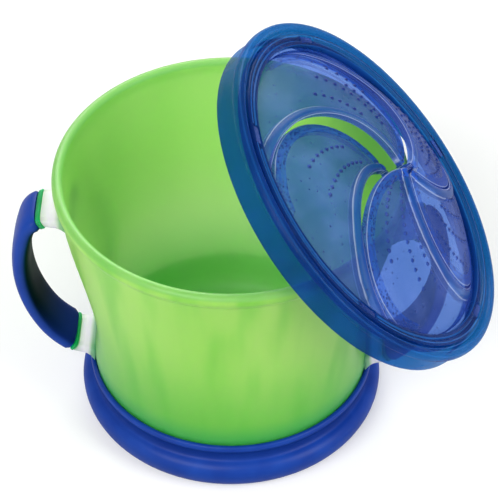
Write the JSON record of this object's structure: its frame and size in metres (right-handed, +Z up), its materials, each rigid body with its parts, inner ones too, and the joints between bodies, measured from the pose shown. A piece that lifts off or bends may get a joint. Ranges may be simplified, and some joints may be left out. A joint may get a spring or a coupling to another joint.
{
  "type": "toddler snack container",
  "caption": "Two-handled open snack cup with a soft base and grips, and a lid of springy curved flaps leaning on its rim.",
  "frame": {"origin": "centre of the cup's foot, on the surface that it stands on", "axes": "+Z up along the cup's axis; the handles lie along X, and the lid leans over the handle at +X"},
  "size_m": [0.1216, 0.0942, 0.1055],
  "materials": {
    "green_shell": "satin",
    "soft_blue": "matte",
    "clear_blue": "gloss",
    "flap_blue": "satin"
  },
  "bodies": {
    "cup_body": {"cup": "green_shell", "base_boot": "soft_blue", "left_grip": "soft_blue", "right_grip": "soft_blue"},
    "lid": {"lid_ring": "clear_blue", "flap_web": "flap_blue"},
    "flap_1": {"flap_1": "flap_blue"},
    "flap_2": {"flap_2": "flap_blue"},
    "flap_3": {"flap_3": "flap_blue"},
    "flap_4": {"flap_4": "flap_blue"},
    "flap_5": {"flap_5": "flap_blue"}
  },
  "joints": [
    {"name": "lid_swing", "type": "hinge", "parent": "cup_body", "child": "lid", "pos_m": [0.00259, 0, 0.03789], "axis": [0, -1, 0], "range_deg": [0, 46.6]},
    {"name": "flap_1_fold", "type": "hinge", "parent": "lid", "child": "flap_1", "pos_m": [0.01471, 0.00879, 0.09489], "axis": [0.0232, -0.9897, 0.1412], "range_deg": [0, 38], "stiffness_Nm_per_rad": 0.012},
    {"name": "flap_2_fold", "type": "hinge", "parent": "lid", "child": "flap_2", "pos_m": [0.02345, -0.02629, 0.08566], "axis": [0.7111, -0.3882, -0.5862], "range_deg": [-12, 45], "stiffness_Nm_per_rad": 0.012},
    {"name": "flap_3_fold", "type": "hinge", "parent": "lid", "child": "flap_3", "pos_m": [0.04907, -0.02504, 0.05856], "axis": [0.5306, 0.7498, -0.3953], "range_deg": [0, 35], "stiffness_Nm_per_rad": 0.012},
    {"name": "flap_4_fold", "type": "hinge", "parent": "lid", "child": "flap_4", "pos_m": [0.05617, 0.01081, 0.05105], "axis": [-0.2688, 0.8516, 0.45], "range_deg": [0, 35], "stiffness_Nm_per_rad": 0.012},
    {"name": "flap_5_fold", "type": "hinge", "parent": "lid", "child": "flap_5", "pos_m": [0.03494, 0.03172, 0.07351], "axis": [-0.5824, -0.2235, 0.7816], "range_deg": [0, 35], "stiffness_Nm_per_rad": 0.012}
  ]
}
